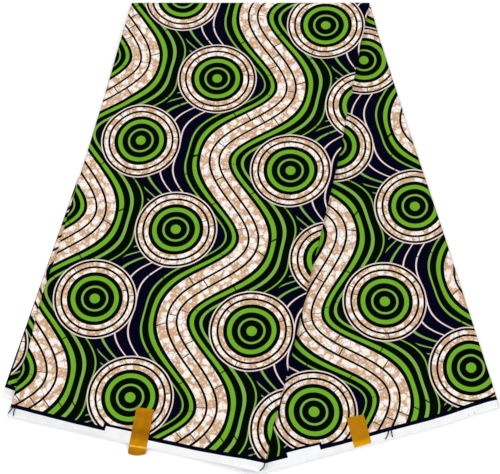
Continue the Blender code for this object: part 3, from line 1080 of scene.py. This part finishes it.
def label(name, sizes, surface, finish):
    """A foil strip laid on the cloth, its flap bent down over the selvedge."""
    length = sizes["length"] + (LABEL_LIP + sizes["flap"] if sizes["flap"] else 0.0)
    bpy.ops.object.select_all(action="DESELECT")
    bpy.ops.mesh.primitive_grid_add(x_subdivisions=LABEL_STEPS, y_subdivisions=LABEL_ROWS, size=1.0)
    piece = bpy.context.object
    piece.name = piece.data.name = name
    turn = math.radians(sizes["turn"])
    down = Vector((math.sin(turn), -math.cos(turn)))
    side = Vector((math.cos(turn), math.sin(turn)))
    layer = piece.data.uv_layers.active
    layer.name = UV_NAME
    for loop in piece.data.loops:
        corner = piece.data.vertices[loop.vertex_index].co
        layer.data[loop.index].uv = (corner.x * sizes["width"], (0.5 - corner.y) * length)
    for point in piece.data.vertices:
        run, out = (0.5 - point.co.y) * length, point.co.x * sizes["width"]
        run += cut_line(2 * point.co.x, *sizes["cut"]) * smoothstep(CUT_START, 1.0, run / length)
        x, y = Vector(sizes["top"]) + down * run + side * out
        past = max(0.0, run - sizes["length"] - LABEL_LIP)
        drop = sizes["drop"] * smoothstep(0.0, 1.0, past / sizes["flap"]) if sizes["flap"] else 0.0
        curl = LABEL_CURL * abs(2 * point.co.x) ** 3 * (1.0 - smoothstep(0.0, LABEL_CURL_SPAN, run))
        point.co = (x, y, surface(x, y) + LABEL_LIFT - drop + curl)
    piece.data.materials.append(finish)
    apply_modifier(piece, "SOLIDIFY", thickness=LABEL_WALL, offset=-1.0)
    apply_modifier(piece, "BEVEL", width=LABEL_BEVEL, segments=2, limit_method="ANGLE")
    only(piece)
    bpy.ops.object.shade_smooth_by_angle(angle=math.radians(LABEL_SMOOTH))
    return piece


# Loose threads at the border, in plan, each lying on the cloth
THREADS = [
    # (half it lies on, points)
    ("front", [(-270.2, -231.6), (-273.3, -235.6), (-276.1, -239.3)]),
    ("front", [(-267.9, -232.0), (-269.5, -236.9), (-270.2, -239.4), (-269.6, -242.6)]),
    ("front", [(15.9, -297.5), (15.6, -301.2), (14.2, -304.0), (10.6, -307.0)]),
    ("side", [(156.6, -259.0), (156.2, -264.5), (152.6, -269.8)]),
    ("side", [(159.6, -259.0), (159.8, -263.2), (160.8, -267.3)]),
]
THREAD = 1.20 * mm
THREAD_LIFTS = (0.65 * mm, 1.00 * mm)       # of a thread's points above the cloth, by turns


def loose_threads(finish):
    """Thread ends left at the border, as thin tubes that lie on the cloth."""
    pieces = []
    for half, path in THREADS:
        surface = front_top if half == "front" else side_top
        line = bpy.data.curves.new("thread", "CURVE")
        line.dimensions = "3D"
        line.bevel_depth = THREAD / 2
        line.bevel_resolution = 2
        line.use_fill_caps = True
        spline = line.splines.new("NURBS")
        spline.points.add(len(path) - 1)
        for number, (x, y) in enumerate(path):
            lift = THREAD_LIFTS[number % 2]
            spline.points[number].co = (x * mm, y * mm, surface(x * mm, y * mm) + lift, 1.0)
        spline.use_endpoint_u = True
        spline.order_u = 3
        piece = bpy.data.objects.new("thread", line)
        bpy.context.scene.collection.objects.link(piece)
        only(piece)
        bpy.ops.object.convert(target="MESH")
        piece = bpy.context.object
        piece.data.materials.clear()
        piece.data.materials.append(finish)
        piece.data.shade_smooth()
        pieces.append(piece)
    return join_pieces(pieces, "loose_threads")


# Studio

CAMERA_TARGET = Vector((-0.5 * mm, -20.8 * mm, 5.5 * mm))
CAMERA_DISTANCE = 1.62
CAMERA_ELEVATION = 66.5
CAMERA_LENS = 96.9
SENSOR_WIDTH = 36.0
FLOOR_SIZE = 12.0
WORLD_LIGHT = 1.10
LAMPS = [
    # (name, place, size, power)
    ("key", (-0.9, 0.9, 2.0), 1.6, 5.5),
    ("fill", (1.4, -0.8, 1.8), 1.4, 2.5),
]


def studio():
    bpy.ops.object.select_all(action="DESELECT")
    bpy.ops.mesh.primitive_plane_add(size=FLOOR_SIZE, location=(0, 0, 0))
    floor = bpy.context.object
    floor.name = "floor"
    floor.data.materials.append(studio_floor())

    world = bpy.data.worlds.new("studio")
    bpy.context.scene.world = world
    world.use_nodes = True
    background = world.node_tree.nodes["Background"]
    background.inputs["Color"].default_value = (1, 1, 1, 1)
    background.inputs["Strength"].default_value = WORLD_LIGHT

    for name, place, size, power in LAMPS:
        lamp = bpy.data.lights.new(name, "AREA")
        lamp.size = size
        lamp.energy = power
        light = bpy.data.objects.new(name, lamp)
        light.location = place
        light.rotation_euler = (-Vector(place)).to_track_quat("-Z", "Y").to_euler()
        bpy.context.scene.collection.objects.link(light)

    lens = bpy.data.cameras.new("camera")
    lens.lens = CAMERA_LENS
    lens.sensor_width = SENSOR_WIDTH
    camera = bpy.data.objects.new("camera", lens)
    rise = math.radians(CAMERA_ELEVATION)
    back = Vector((0.0, -math.cos(rise), math.sin(rise)))
    camera.location = CAMERA_TARGET + back * CAMERA_DISTANCE
    camera.rotation_euler = (-back).to_track_quat("-Z", "Y").to_euler()
    bpy.context.scene.collection.objects.link(camera)
    bpy.context.scene.camera = camera
    bpy.context.scene.view_settings.view_transform = "Standard"


# How uneven the foil's light is
LEFT_UNEVENNESS = 0.46
RIGHT_UNEVENNESS = 0.20


def dress():
    """Makes every piece, and puts it in place of the solids that it stands for."""
    cotton = printed_cotton()
    left_foil = gold_foil("gold_foil_left", LEFT_FOIL_PAINTED_LIGHT, LEFT_UNEVENNESS)
    right_foil = gold_foil("gold_foil_right", RIGHT_FOIL_PAINTED_LIGHT, RIGHT_UNEVENNESS)

    inner = inner_layers(cotton)
    side = side_cloth(cotton)
    leaf = lower_leaf(cotton)
    front = front_cloth(cotton)
    left = label("label_left", LEFT_LABEL, front_top, left_foil)
    right = label("label_right", RIGHT_LABEL, side_top, right_foil)
    threads = loose_threads(dark_thread())

    for piece, node, slot in (
        (inner, "hidden_layers", "cotton_layers"),
        (side, "side_panel", "printed_cotton"),
        (leaf, "under_leaf", "printed_cotton"),
        (front, "front_panel", "printed_cotton"),
        (left, "gold_label_left", "gold_foil"),
        (right, "gold_label_right", "gold_foil"),
    ):
        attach(piece, BODY)
        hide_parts(node)
    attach(threads, BODY)


studio()
dress()
